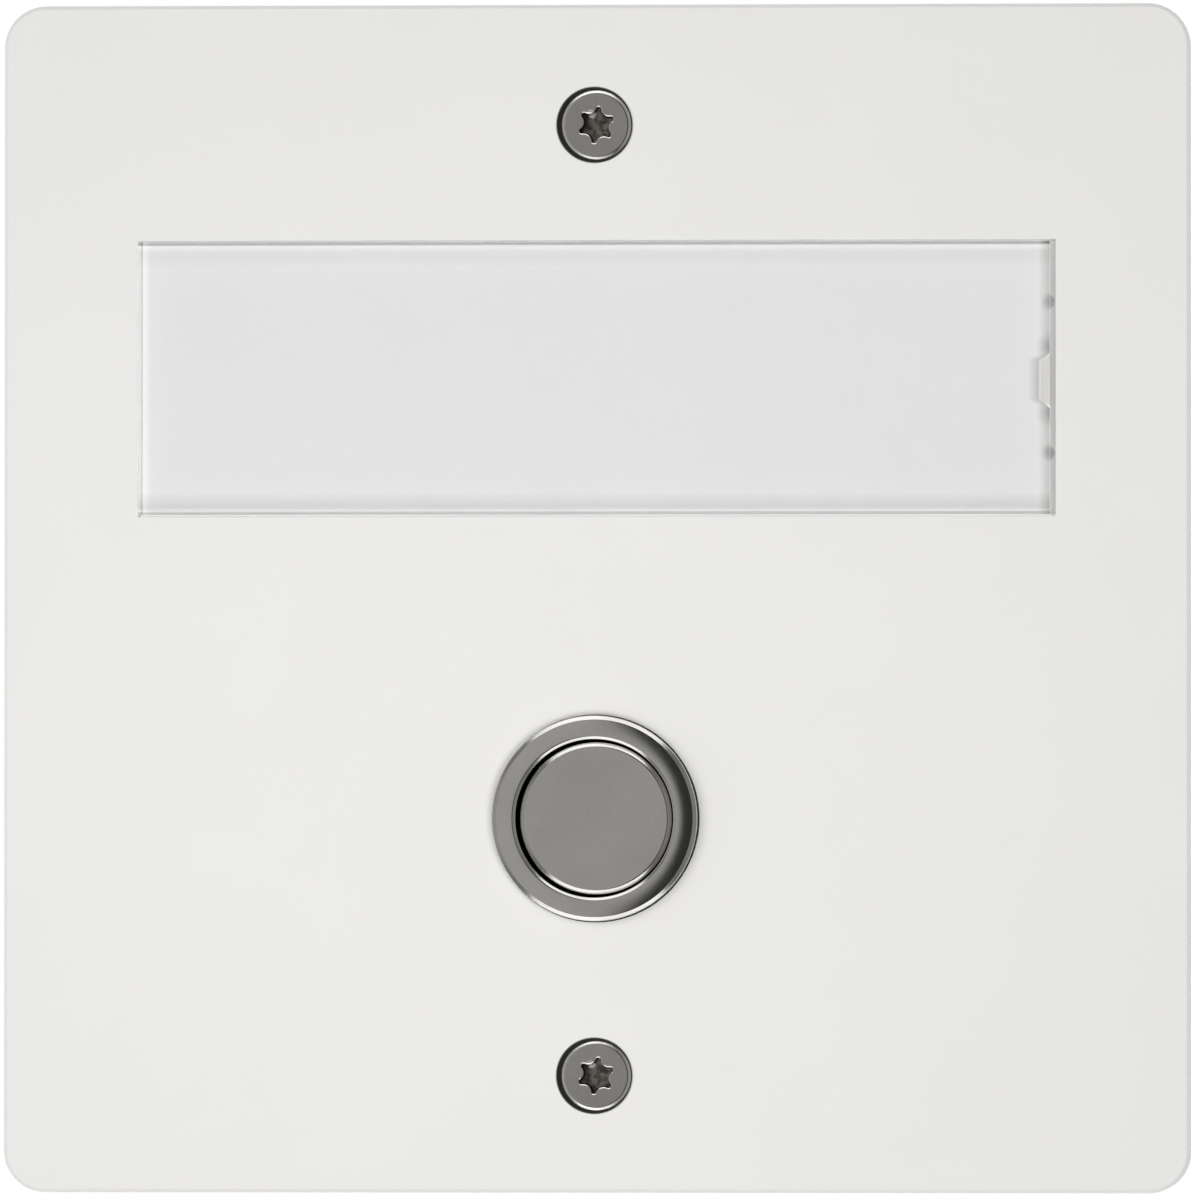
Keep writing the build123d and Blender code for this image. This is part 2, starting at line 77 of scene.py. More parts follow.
# Lamps, in metres and watts: some are only mirrored by metal, the others light all the rest
Lamp = namedtuple("Lamp", "name place size power mirrored")
LAMPS = [
    Lamp("softbox_top", (0.08, -0.59, 0.81), (1.7, 0.4), 2.35, True),
    Lamp("softbox_bottom", (0.08, -0.59, -0.81), (1.7, 0.4), 2.35, True),
    Lamp("fill_front", (0.18, -1.2, -0.12), (0.5, 0.5), 7.4, False),
    Lamp("fill_near", (-0.03, -0.18, -0.012), (0.08, 0.08), 0.065, False),
    Lamp("fill_back", (0.35, 0.9, 0.6), (0.6, 0.6), 3.5, False),
]

# Room before the plate: where its sides start and end, as slopes off the line straight ahead
slope_limit = 0.05
room_light = 0.465
room_dark = 0.035
dark_side = (-0.062, 0.09)
lit_side = (0.45, 0.8)
lit_side_gain = 0.25
left_side = (-1.2, -0.4)
left_side_loss = 0.08
above_and_below = (0.5, 1.0)
above_and_below_share = 0.6

# Light from behind the plate and around its rim, by how far a direction leaves the plate's plane
backdrop_edge = (0.0, 0.4)
backdrop_light = 0.5
rim_light_edge = (0.1, 0.3)
rim_light = 0.85
rim_light_dark = 0.5

# Grain of all surfaces: its broad tone and its fine part
broad_grain = 0.04
broad_detail = 3.0
tone_range = (0.3, 0.7)
fine_range = (0.25, 0.75)

# Turned pieces: heights are measured out from the wall, and a hair is their smallest step
turn_segments = 240
thread_steps = 8
edge_steps = 6
edge_break = 0.05
hair = 0.008
bevel_slope = 29.0
cap_bevel = 0.33
cap_shift = 0.12
cap_back = 22.8
ring_bevel = 0.22
ring_fall = 0.09
flange_bevel = 0.30
flange_back = 23.3
barrel_radius = 6.35
barrel_thread_pitch = 1.0
barrel_thread_depth = 0.35
barrel_thread_start = 22.3
rear_radius = 5.3
pocket_radius = 5.65
pocket_floor = 21.5
spring_pocket_radius = 4.0
guide_radius = 2.05
guide_front = 17.8
guide_back = 16.2
stem_radius = 2.0
groove_radius = 1.6
clip_back = 15.6
stem_step = 15.0
tenon_radius = 1.2

# Grime and painted shade down in the gap around the push cap, and how rough any grime is
gap_clean_depth = 0.1
gap_dark_depth = 0.3
grime_rough = 0.6

# Plate screws
screw_bevel = 0.25
screw_bevel_slope = 24.0
screw_radius = 1.5
screw_thread_pitch = 0.5
screw_thread_depth = 0.28
screw_tip_chamfer = 0.4
lobe_count = 6
lobe_radius = 1.4
flute_radius = 0.48
flute_reach = 1.0
lobe_depth = 1.2
lobe_angle = 22.0
lobe_lip = 0.07
lobe_lip_slope = 27.0
lobe_taper = 0.1
lobe_floor_drop = 0.35
dirt_size = 0.5
# Dirt down in the six-lobe recess, with painted shade on its walls
recess_clean_depth = 0.12
recess_dark_depth = 0.5
worn_start = 0.004
worn_depth = 0.03
# Painted highlight: a bright mottled glint up and to the left in each six-lobe recess
glint_left = 0.42
glint_rise = 0.82
glint_core = 0.12
glint_end = 0.45
glint_mottle = 0.5
glint_range = (0.2, 0.8)
mottle_range = (0.35, 0.65)
arc_points = 10

# Screw holes in the plate, where bare metal shows with painted shade, moved to the left
screw_hole_radius = 2.67
coat_edge = 0.13
hole_shade_shift_left = 0.12

# Clear insert: its nubs and notch, and how light its middle is
nub_reach = 0.35
nub_spacing = 10.8
notch_depth = 0.75
notch_half = 1.65
notch_ramp = 0.3
notch_drop = 0.2
notch_shade = 0.7
acrylic_tint = 0.873
acrylic_ior = 1.49
acrylic_pass = 0.98
acrylic_grain = 0.5
acrylic_rough = (0.015, 0.03)
# How soft the edges of the painted shade and glow behind the insert are
painted_edge_blur = 0.06

# Painted light: a faint glow on the insert's cut edges, on the card and seat beside them and on the walls
# of the opening, for the light that the edges gather and shed into the narrow gap around it
opening_half_width = 32.9
opening_bottom = 5.85
opening_top = 25.65
opening_blur = 0.005
seat_front = 21.3
seat_blur = 0.3
side_glow = 0.075
seat_glow = 0.22
edge_glow = 0.16

# How much a normal points to the front or back, on a wall that runs back and on a face
facing_range = (0.5, 0.9)

# Painted highlights and painted shade in bands along the insert's rim, put into its tint: distances in
# from an edge where the band starts, is full, starts to fade and ends, and how much it changes the tint
PaintedRimBand = namedtuple("PaintedRimBand", "edge start full fade end change")
PAINTED_RIM_BANDS = [
    PaintedRimBand("left", -0.1, 0.0, 0.15, 0.85, 0.14),
    PaintedRimBand("left", -0.1, -0.05, 0.02, 0.10, -0.18),
    PaintedRimBand("left", 0.10, 0.18, 0.20, 0.28, -0.42),
    PaintedRimBand("top", -0.1, 0.0, 0.3, 0.75, 0.02),
    PaintedRimBand("top", 0.04, 0.12, 0.22, 0.34, -0.44),
    PaintedRimBand("top", 0.4, 0.75, 1.1, 1.9, -0.075),
    PaintedRimBand("bottom", 0.0, 0.06, 0.20, 0.28, -0.22),
    PaintedRimBand("bottom", 0.25, 0.5, 0.65, 1.6, -0.165),
    PaintedRimBand("right", 0.02, 0.08, 0.10, 0.85, -0.29),
    PaintedRimBand("upper_nub", -0.1, 0.0, 0.25, 0.75, -0.20),
    PaintedRimBand("lower_nub", -0.1, 0.0, 0.25, 0.75, -0.20),
    PaintedRimBand("above_notch", -0.1, 0.0, 0.2, 1.1, -0.22),
    PaintedRimBand("below_notch", -0.1, 0.0, 0.2, 1.1, -0.22),
]

# Tracks on the board
track_patch = 9.0
track_pitch = 0.9
track_edge = (0.3, 0.45)
upright_share = 0.5

# Lock washer
washer_teeth = 16
washer_steps = 96
washer_bore = 6.45
washer_body = 7.1
washer_sheet = 0.35
tooth_width = 1.5
tooth_root = 0.2
tooth_end_gap = 0.06
tooth_twist = 9.0

# Return spring
spring_wire = 0.5
spring_turn_steps = 64
wire_sides = 16
spring_path_radius = 3.45
spring_turns = 5.5
spring_end_squeeze = 0.35
spring_end_gap = 0.03

# Plain CAD pieces that get their sharp edges broken, and how wide
soft_steps = 3
sharp_angle = 30.0
flat_angle = 0.5
weld_distance = 0.0001
SOFT_EDGES = {
    "front_plate": 0.012,
    "name_window": 0.012,
    "name_card": 0.02,
    "back_box": 0.25,
    "cell_holder": 0.15,
    "switch_base": 0.1,
    "radio_chip": 0.04,
    "resonator": 0.1,
    "coin_cell": 0.15,
    "bezel_nut": 0.12,
    "circuit_board": 0.05,
    "board_screws": 0.05,
    "thread_inserts": 0.05,
    "contact_carrier": 0.08,
}

# How far the left edges of the insert and its card are moved out, so that a hairline shows there
LEFT_EASE = {"name_window": 0.055, "name_card": 0.1}

nodes = frame["nodes"]
slot_of = {part["node"]: part["material_slot"] for part in frame["record"]["subparts"]}


def srgb(red, green, blue):
    """A colour picked on screen, from 0 to 255, as the linear colour that shaders take."""

    def linear(value):
        value /= 255
        return value / 12.92 if value <= 0.04045 else ((value + 0.055) / 1.055) ** 2.4

    return linear(red), linear(green), linear(blue), 1.0


# Colours of painted shade at the notch and gap, dirt and painted shade in the screw recesses, grime and
# painted shade in the button gap, wear, a painted glint, bare metal with painted shade, tracks and floor
notch_painted_shade = srgb(209, 208, 206)
gap_painted_shade = srgb(199, 198, 196)
recess_wall_painted_shade = srgb(40, 36, 33)
recess_floor_grime = srgb(128, 119, 112)
recess_pale_grime = srgb(214, 205, 198)
button_gap_grime_and_shade = srgb(38, 37, 36)
worn_bright = srgb(240, 238, 234)
painted_glint_bright = srgb(246, 241, 237)
bare_metal_and_shade = srgb(26, 25, 24)
pale_track = srgb(44, 134, 82)
floor_pale = srgb(245, 245, 244)
pure_white = (1.0, 1.0, 1.0, 1.0)


# Places read from the frame, in millimetres


def axis_of(node):
    """The middle of a CAD node seen from the front, as (x, z)."""
    low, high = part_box(node)
    return (low.x + high.x) / 2 / MM, (low.z + high.z) / 2 / MM


def front_of(node):
    """How far out from the wall a CAD node's front is."""
    return -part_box(node)[0].y / MM


def back_of(node):
    """How far out from the wall a CAD node's back is."""
    return -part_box(node)[1].y / MM


def half_width(node):
    """Half of a CAD node's width, which is the radius of a turned piece."""
    low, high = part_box(node)
    return (high.x - low.x) / 2 / MM


def screw_heights():
    """How high the axes of the top and the bottom plate screw are."""
    low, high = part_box("plate_screws")
    radius = half_width("plate_screws")
    return high.z / MM - radius, low.z / MM + radius


# Node trees


class Tree:
    """A node tree with short calls for adding nodes and joining sockets."""

    def __init__(self, tree):
        self.tree = tree
        tree.nodes.clear()

    def add(self, kind, **settings):
        """A new node of one kind, with its settings."""
        node = self.tree.nodes.new(kind)
        for name, value in settings.items():
            setattr(node, name, value)
        return node

    def put(self, socket, value):
        """Join a socket to another one, or set it to a plain value."""
        if isinstance(value, bpy.types.NodeSocket):
            self.tree.links.new(value, socket)
        else:
            socket.default_value = value

    def maths(self, operation, *values, clamp=False):
        """One step of arithmetic on values or sockets."""
        node = self.add("ShaderNodeMath", operation=operation, use_clamp=clamp)
        for socket, value in zip(node.inputs, values):
            self.put(socket, value)
        return node.outputs[0]

    def ramp(self, value, start, end, low=0.0, high=1.0, smooth=True):
        """Map a value from start..end to low..high, held at both ends."""
        kind = "SMOOTHSTEP" if smooth else "LINEAR"
        node = self.add("ShaderNodeMapRange", interpolation_type=kind)
        names = ("Value", "From Min", "From Max", "To Min", "To Max")
        for name, given in zip(names, (value, start, end, low, high)):
            self.put(node.inputs[name], given)
        return node.outputs["Result"]

    def parts(self, vector):
        """The outputs X, Y and Z of a vector."""
        node = self.add("ShaderNodeSeparateXYZ")
        self.put(node.inputs[0], vector)
        return node.outputs

    def spot(self):
        """The point that is shaded, in the piece's own space."""
        return self.add("ShaderNodeTexCoord").outputs["Object"]

    def facing(self, wall, face):
        """One value on walls that run front to back, another on faces towards the front or back."""
        normal = self.parts(self.add("ShaderNodeNewGeometry").outputs["Normal"])
        return self.ramp(self.maths("ABSOLUTE", normal["Y"]), *facing_range, wall, face)

    def distance(self, across, up):
        """How long the way is that goes this far across and this far up."""
        square = self.maths("MULTIPLY", across, across)
        return self.maths("SQRT", self.maths("MULTIPLY_ADD", up, up, square))

    def grey(self, level):
        """A grey colour of this level."""
        node = self.add("ShaderNodeCombineColor")
        for channel in node.inputs:
            self.put(channel, level)
        return node.outputs[0]

    def blend(self, factor, first, second):
        """A colour between two others; 6, 7 and 2 are the colour sockets of the mix node."""
        node = self.add("ShaderNodeMix", data_type="RGBA")
        self.put(node.inputs["Factor"], factor)
        self.put(node.inputs[6], first)
        self.put(node.inputs[7], second)
        return node.outputs[2]

    def noise(self, vector, scale, detail=2.0):
        """A cloudy value around a half."""
        node = self.add("ShaderNodeTexNoise")
        self.put(node.inputs["Vector"], vector)
        self.put(node.inputs["Scale"], scale)
        self.put(node.inputs["Detail"], detail)
        return node.outputs[0]

    def mixed(self, factor, first, second):
        """A shader between two others."""
        node = self.add("ShaderNodeMixShader")
        for socket, value in zip(node.inputs, (factor, first, second)):
            self.put(socket, value)
        return node.outputs[0]

    def finish(self, shader):
        """Join a shader to the material's output."""
        self.put(self.add("ShaderNodeOutputMaterial").inputs["Surface"], shader)


def new_group(name, inputs, outputs):
    """An empty shader group with float sockets; returns its tree and its two end nodes."""
    group = bpy.data.node_groups.new(name, "ShaderNodeTree")
    for in_out, names in (("INPUT", inputs), ("OUTPUT", outputs)):
        for socket in names:
            group.interface.new_socket(socket, in_out=in_out, socket_type="NodeSocketFloat")
    tree = Tree(group)
    return tree, tree.add("NodeGroupInput"), tree.add("NodeGroupOutput")


def make_grain_group():
    """A broad tone and a fine grain in object space, both from 0 to 1."""
    tree, start, end = new_group("Grain", ["Size"], ["Tone", "Fine"])
    spot = tree.spot()
    fine_scale = tree.maths("DIVIDE", 1.0, start.outputs["Size"])
    broad_scale = tree.maths("MULTIPLY", fine_scale, broad_grain)
    broad = tree.noise(spot, broad_scale, broad_detail)
    fine = tree.noise(spot, fine_scale)
    tree.put(end.inputs["Tone"], tree.ramp(broad, *tone_range))
    tree.put(end.inputs["Fine"], tree.ramp(fine, *fine_range, smooth=False))
    return tree.tree


GRAIN = make_grain_group()

# One row per material: darker and lighter colour, grain size, roughness range, bump depth, metal
Surface = namedtuple("Surface", "dark light grain rough bump metal")
SURFACES = {
    "plate_coat": Surface(srgb(235, 234, 232), srgb(236, 235, 233), 0.35, (0.40, 0.48), 0.0012, 0),
    "screw_steel": Surface(srgb(188, 185, 180), srgb(198, 195, 190), 0.25, (0.20, 0.28), 0.0006, 1),
    "white_card": Surface(srgb(250, 250, 250), srgb(251, 251, 251), 0.30, (0.75, 0.90), 0.010, 0),
    "tray_plastic": Surface(srgb(230, 230, 229), srgb(236, 236, 235), 0.25, (0.45, 0.55), 0.003, 0),
    "bonding_tape": Surface(srgb(212, 211, 205), srgb(224, 223, 218), 0.40, (0.60, 0.75), 0.010, 0),
    "turned_steel": Surface(srgb(203, 201, 197), srgb(209, 207, 203), 0.20, (0.12, 0.18), 0.0004, 1),
    "black_rubber": Surface(srgb(24, 24, 25), srgb(34, 34, 35), 0.20, (0.65, 0.80), 0.005, 0),
    "plated_steel": Surface(srgb(196, 197, 196), srgb(210, 210, 205), 0.30, (0.22, 0.34), 0.002, 1),
    "spring_steel": Surface(srgb(158, 158, 161), srgb(176, 176, 178), 0.30, (0.24, 0.34), 0.001, 1),
    "natural_plastic": Surface(srgb(214, 208, 190), srgb(224, 219, 202), 0.30, (0.38, 0.50), 0.003, 0),
    "brass": Surface(srgb(207, 170, 98), srgb(219, 186, 116), 0.30, (0.20, 0.32), 0.001, 1),
    "black_plastic": Surface(srgb(28, 28, 29), srgb(36, 36, 37), 0.15, (0.45, 0.60), 0.004, 0),
    "green_board": Surface(srgb(14, 86, 50), srgb(20, 104, 60), 0.40, (0.28, 0.40), 0.002, 0),
    "bright_tin": Surface(srgb(200, 201, 202), srgb(216, 216, 216), 0.40, (0.16, 0.30), 0.001, 1),
    "box_plastic": Surface(srgb(228, 228, 225), srgb(231, 231, 228), 0.25, (0.42, 0.52), 0.006, 0),
    "grey_foam": Surface(srgb(96, 97, 99), srgb(116, 117, 119), 0.35, (0.85, 0.95), 0.060, 0),
}


def new_material(name):
    """A material with one shader that isn't joined yet; returns it with its tree and shader."""
    material = bpy.data.materials.new(name + "_look")
    material.use_nodes = True
    tree = Tree(material.node_tree)
    return material, tree, tree.add("ShaderNodeBsdfPrincipled")


def grain_of(tree, size):
    """The outputs Tone and Fine of the grain group at one size."""
    grain = tree.add("ShaderNodeGroup", node_tree=GRAIN)
    tree.put(grain.inputs["Size"], size * MM)
    return grain.outputs


def surface_material(name):
    """A material from its row of the table; returns it with its tree and shader for additions."""
    surface = SURFACES[name]
    material, tree, shader = new_material(name)
    tree.finish(shader.outputs[0])
    grain = grain_of(tree, surface.grain)
    colour = tree.blend(grain["Tone"], surface.dark, surface.light)
    rough = tree.ramp(grain["Fine"], 0, 1, *surface.rough, smooth=False)
    bump = tree.add("ShaderNodeBump")
    tree.put(bump.inputs["Height"], grain["Fine"])
    tree.put(bump.inputs["Distance"], surface.bump * MM)
    tree.put(shader.inputs["Base Color"], colour)
    tree.put(shader.inputs["Roughness"], rough)
    tree.put(shader.inputs["Metallic"], surface.metal)
    tree.put(shader.inputs["Normal"], bump.outputs[0])
    return material, tree, shader


def plain(name):
    """A material as its row of the table gives it."""
    return surface_material(name)[0]


def feeding(socket):
    """What a shader's socket is joined to so far."""
    return socket.links[0].from_socket


def glow(tree, shader, level):
    """Painted light: let a surface shed a little white light of its own, though it is no lamp."""
    tree.put(shader.inputs["Emission Color"], tree.grey(level))
    tree.put(shader.inputs["Emission Strength"], 1.0)


def dull(tree, shader, grime_and_shade):
    """Roughen a polished surface where there is grime."""
    polish = feeding(shader.inputs["Roughness"])
    tree.put(shader.inputs["Roughness"], tree.ramp(grime_and_shade, 0, 1, polish, grime_rough, smooth=False))


def rim_depths(tree, x, z):
    """How far a point of the insert lies in from each edge of its rim, and from its nubs."""
    low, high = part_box("name_window")
    right_edge = high.x - nub_reach * MM
    middle_z = axis_of("name_window")[1] * MM
    beside_notch = tree.maths("ABSOLUTE", tree.maths("SUBTRACT", z, middle_z - notch_drop * MM))
    notch_start = (notch_half - notch_ramp) * MM
    notch_end = (notch_half + notch_ramp) * MM
    notch = tree.ramp(beside_notch, notch_start, notch_end, notch_depth * MM, 0.0)
    past_edge = tree.maths("SUBTRACT", right_edge, x)
    depths = {
        "left": tree.maths("SUBTRACT", x, low.x),
        "top": tree.maths("SUBTRACT", high.z, z),
        "bottom": tree.maths("SUBTRACT", z, low.z),
        "right": tree.maths("SUBTRACT", past_edge, notch),
        "gap": past_edge,
    }
    notch_end_rise = notch_half + notch_shade
    for place, height in (
        ("upper_nub", nub_spacing / 2),
        ("lower_nub", -nub_spacing / 2),
        ("above_notch", notch_end_rise - notch_drop),
        ("below_notch", -notch_end_rise - notch_drop),
    ):
        rise = tree.maths("SUBTRACT", z, middle_z + height * MM)
        depths[place] = tree.distance(past_edge, rise)
    return depths


def clear_acrylic():
    """Clear acrylic that lets lamp light through to the card; its tint has painted highlights and painted
    shade along the rim, and its cut edges a painted glow.
    """
    material, tree, shader = new_material("clear_acrylic")
    place = tree.parts(tree.spot())
    depths = rim_depths(tree, place["X"], place["Z"])
    tint = acrylic_tint
    # Painted highlights and painted shade, band by band along the rim
    for band in PAINTED_RIM_BANDS:
        depth = depths[band.edge]
        rise = tree.ramp(depth, band.start * MM, band.full * MM, smooth=False)
        change = tree.ramp(depth, band.fade * MM, band.end * MM, band.change, 0.0, smooth=False)
        tint = tree.maths("MULTIPLY_ADD", rise, change, tint, clamp=True)
    rough = tree.ramp(grain_of(tree, acrylic_grain)["Fine"], 0, 1, *acrylic_rough, smooth=False)
    tree.put(shader.inputs["Base Color"], tree.grey(tint))
    tree.put(shader.inputs["Roughness"], rough)
    tree.put(shader.inputs["Transmission Weight"], 1.0)
    tree.put(shader.inputs["IOR"], acrylic_ior)
    # Painted light: the insert's cut edges glow faintly
    glow(tree, shader, tree.facing(edge_glow, 0.0))
    passing = tree.add("ShaderNodeBsdfTransparent")
    tree.put(passing.inputs["Color"], (acrylic_pass, acrylic_pass, acrylic_pass, 1.0))
    ray = tree.add("ShaderNodeLightPath").outputs
    lamp_light = tree.maths("MAXIMUM", ray["Is Shadow Ray"], ray["Is Diffuse Ray"])
    tree.finish(tree.mixed(lamp_light, shader.outputs[0], passing.outputs[0]))
    return material


def shade_and_glow_behind_insert(name):
    """A white piece behind the insert, with painted shade where the notch and the gap leave it open, and a
    painted glow just beyond the insert's left, top and bottom edges.
    """
    material, tree, shader = surface_material(name)
    place = tree.parts(tree.spot())
    depths = rim_depths(tree, place["X"], place["Z"])
    colour = feeding(shader.inputs["Base Color"])
    # Painted shade where the notch and the gap to the right of the insert leave the piece open
    for edge, shade_colour in (("right", notch_painted_shade), ("gap", gap_painted_shade)):
        in_shade = tree.ramp(depths[edge], -painted_edge_blur * MM, painted_edge_blur * MM, 1.0, 0.0)
        colour = tree.blend(in_shade, colour, shade_colour)
    tree.put(shader.inputs["Base Color"], colour)
    # Painted light: a faint glow on the card and the seat's front just beyond the insert's left, top and
    # bottom edges
    beside = 0.0
    for edge, level in (("left", side_glow), ("top", seat_glow), ("bottom", seat_glow)):
        past_rim = tree.ramp(depths[edge], 0.0, painted_edge_blur * MM, level, 0.0)
        beside = tree.maths("MAXIMUM", beside, past_rim)
    seat_end = seat_front - seat_blur
    seat = tree.ramp(place["Y"], -seat_front * MM, -seat_end * MM, 1.0, 0.0)
    glow(tree, shader, tree.maths("MULTIPLY", beside, seat))
    return material


def reach_from_screws(tree, place, side, rise):
    """Distance from the nearest point that lies this far beside and above a screw's axis."""
    nearest = 1.0
    across = tree.maths("SUBTRACT", place["X"], side * MM)
    for axis_z in screw_heights():
        up = tree.maths("SUBTRACT", place["Z"], (axis_z + rise) * MM)
        nearest = tree.maths("MINIMUM", nearest, tree.distance(across, up))
    return nearest


def worn_screws_with_painted_light(name):
    """Plate screws with edges worn bright, dirt in the six-lobe recess with its walls painted darker as
    shade, and a painted glint at the recess's upper left.
    """
    material, tree, shader = surface_material(name)
    place = tree.parts(tree.spot())
    depth = tree.maths("SUBTRACT", place["Y"], -front_of("plate_screws") * MM)
    worn = tree.ramp(depth, worn_start * MM, worn_depth * MM)
    metal = tree.blend(worn, feeding(shader.inputs["Base Color"]), worn_bright)
    spots = tree.noise(tree.spot(), 1 / (dirt_size * MM), broad_detail)
    mottle = tree.ramp(spots, *mottle_range)
    dirt_and_shade = tree.blend(mottle, recess_floor_grime, recess_pale_grime)
    # Painted shade: the recess walls are darker than its floor
    dirt_and_shade = tree.blend(tree.facing(0.0, 1.0), recess_wall_painted_shade, dirt_and_shade)
    grime_and_shade = tree.ramp(depth, recess_clean_depth * MM, recess_dark_depth * MM)
    # Painted highlight: a bright mottled glint up and to the left in the recess
    reach = reach_from_screws(tree, place, -glint_left, glint_rise)
    glint_spot = tree.ramp(reach, glint_core * MM, glint_end * MM, 1.0, 0.0)
    speckled = tree.maths("MULTIPLY", glint_spot, tree.maths("ADD", mottle, glint_mottle))
    patchy_glint = tree.ramp(speckled, *glint_range)
    colour = tree.blend(patchy_glint, tree.blend(grime_and_shade, metal, dirt_and_shade), painted_glint_bright)
    tree.put(shader.inputs["Base Color"], colour)
    dull(tree, shader, tree.maths("SUBTRACT", grime_and_shade, patchy_glint, clamp=True))
    return material


def opened_plate(name):
    """The plate's coat: bare metal darkened with painted shade in the two screw holes, the dark ring moved
    to the left, and a painted glow on the walls of the window opening.
    """
    material, tree, shader = surface_material(name)
    place = tree.parts(tree.spot())
    # Painted shade with bare metal in the screw holes, its middle moved to the left
    reach = reach_from_screws(tree, place, -hole_shade_shift_left, 0.0)
    bare_and_shade = tree.ramp(reach, screw_hole_radius * MM, (screw_hole_radius + coat_edge) * MM, 1.0, 0.0)
    colour = tree.blend(bare_and_shade, feeding(shader.inputs["Base Color"]), bare_metal_and_shade)
    tree.put(shader.inputs["Base Color"], colour)
    # Painted light: the walls of the window opening glow faintly
    beyond_side = (opening_half_width + opening_blur) * MM
    beside = tree.maths("SUBTRACT", beyond_side, tree.maths("ABSOLUTE", place["X"]))
    above = tree.maths("SUBTRACT", place["Z"], (opening_bottom - opening_blur) * MM)
    below = tree.maths("SUBTRACT", (opening_top + opening_blur) * MM, place["Z"])
    inside = tree.maths("MINIMUM", beside, tree.maths("MINIMUM", above, below))
    glow(tree, shader, tree.ramp(inside, 0.0, opening_blur * MM, 0.0, side_glow))
    return material


def dark_button_gap(name):
    """Turned steel, darker down in the narrow gap between the cap and the collar, with grime and painted
    shade.
    """
    material, tree, shader = surface_material(name)
    place = tree.parts(tree.spot())
    axis_x, axis_z = axis_of("button_cap")
    side = tree.maths("SUBTRACT", place["X"], axis_x * MM)
    rise = tree.maths("SUBTRACT", place["Z"], axis_z * MM)
    reach = tree.distance(side, rise)
    cap_side = half_width("button_cap") * MM
    wall = pocket_radius * MM
    out_of_cap = tree.ramp(reach, cap_side - edge_break * MM, cap_side)
    in_from_wall = tree.ramp(reach, wall, wall + edge_break * MM, 1.0, 0.0)
    depth = tree.maths("SUBTRACT", place["Y"], -front_of("button_cap") * MM)
    deep = tree.ramp(depth, gap_clean_depth * MM, gap_dark_depth * MM)
    # Grime and painted shade down in the gap between cap and collar
    gap = tree.maths("MULTIPLY", tree.maths("MULTIPLY", out_of_cap, in_from_wall), deep)
    colour = tree.blend(gap, feeding(shader.inputs["Base Color"]), button_gap_grime_and_shade)
    tree.put(shader.inputs["Base Color"], colour)
    dull(tree, shader, gap)
    return material


def tracked_board(name):
    """Green board with pale tracks under its lacquer, which change direction from patch to patch."""
    material, tree, shader = surface_material(name)
    spot = tree.spot()
    place = tree.parts(spot)
    patch = tree.add("ShaderNodeTexVoronoi", distance="CHEBYCHEV")
    tree.put(patch.inputs["Vector"], spot)
    tree.put(patch.inputs["Scale"], 1 / (track_patch * MM))
    chance = tree.add("ShaderNodeSeparateColor")
    tree.put(chance.inputs[0], patch.outputs["Color"])
    upright = tree.maths("GREATER_THAN", chance.outputs[0], upright_share)
    turned = tree.maths("SUBTRACT", place["X"], place["Z"])
    along = tree.maths("MULTIPLY_ADD", upright, turned, place["Z"])
    wave = tree.maths("SINE", tree.maths("MULTIPLY", along, math.tau / (track_pitch * MM)))
    track = tree.ramp(wave, *track_edge)
    colour = tree.blend(track, feeding(shader.inputs["Base Color"]), pale_track)
    tree.put(shader.inputs["Base Color"], colour)
    return material


# Surfaces that need more than their row of the table
SPECIAL_LOOKS = {
    "plate_coat": opened_plate,
    "screw_steel": worn_screws_with_painted_light,
    "white_card": shade_and_glow_behind_insert,
    "tray_plastic": shade_and_glow_behind_insert,
    "turned_steel": dark_button_gap,
    "green_board": tracked_board,
}
materials = {name: SPECIAL_LOOKS.get(name, plain)(name) for name in SURFACES}
materials["clear_acrylic"] = clear_acrylic()


# Mesh helpers


def add_piece(name, mesh, node, body="housing"):
    """Put a mesh in the scene in place of a CAD node, with the material of that node's slot."""
    piece = bpy.data.objects.new(name, mesh)
    bpy.context.scene.collection.objects.link(piece)
    mesh.materials.clear()
    mesh.materials.append(materials[slot_of[node]])
    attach(piece, body)
    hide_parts(node)
    return piece


def left_of(step):
    """The side that an outline keeps empty, as a unit vector."""
    return Vector((-step.y, step.x)).normalized()


def rounded(corners, closed):
    """Outline points with normals: each corner (radius, height, setback) becomes a small arc."""
    points = []
    last = len(corners) - 1
    for index, (radius, height, setback) in enumerate(corners):
        here = Vector((radius, height))
        into = here - Vector(corners[index - 1][:2])
        onward = Vector(corners[(index + 1) % len(corners)][:2]) - here
        if not closed and index in (0, last):
            points.append((here, left_of(onward if index == 0 else into)))
            continue
        into.normalize()
        onward.normalize()
        turn = math.atan2(into.cross(onward), into.dot(onward))
        if abs(turn) < 1e-4:
            points.append((here, left_of(into)))
            continue
        reach = setback / math.tan(abs(turn) / 2) * math.copysign(1, turn)
        side = left_of(into)
        centre = here - into * setback + side * reach
        for step in range(edge_steps + 1):
            angle = turn * step / edge_steps
            cos, sin = math.cos(angle), math.sin(angle)
            normal = Vector((side.x * cos - side.y * sin, side.x * sin + side.y * cos))
            points.append((centre - normal * reach, normal))
    return points


def with_thread(points, radius, start, end, pitch, depth):
    """Cut a thread between two heights of an outline's straight run, faded in and out over a turn."""
    after = next(
        index
        for index, (place, normal) in enumerate(points)
        if abs(place.x - radius) < hair and place.y < end
    )
    count = math.ceil((start - end) / pitch * thread_steps)
    run = []
    for step in range(count + 1):
        height = start + (end - start) * step / count
        fade = min(1, step / thread_steps, (count - step) / thread_steps)
        run.append((Vector((radius, height)), Vector((1, 0)), pitch, depth * fade))
    return points[:after] + run + points[after:]


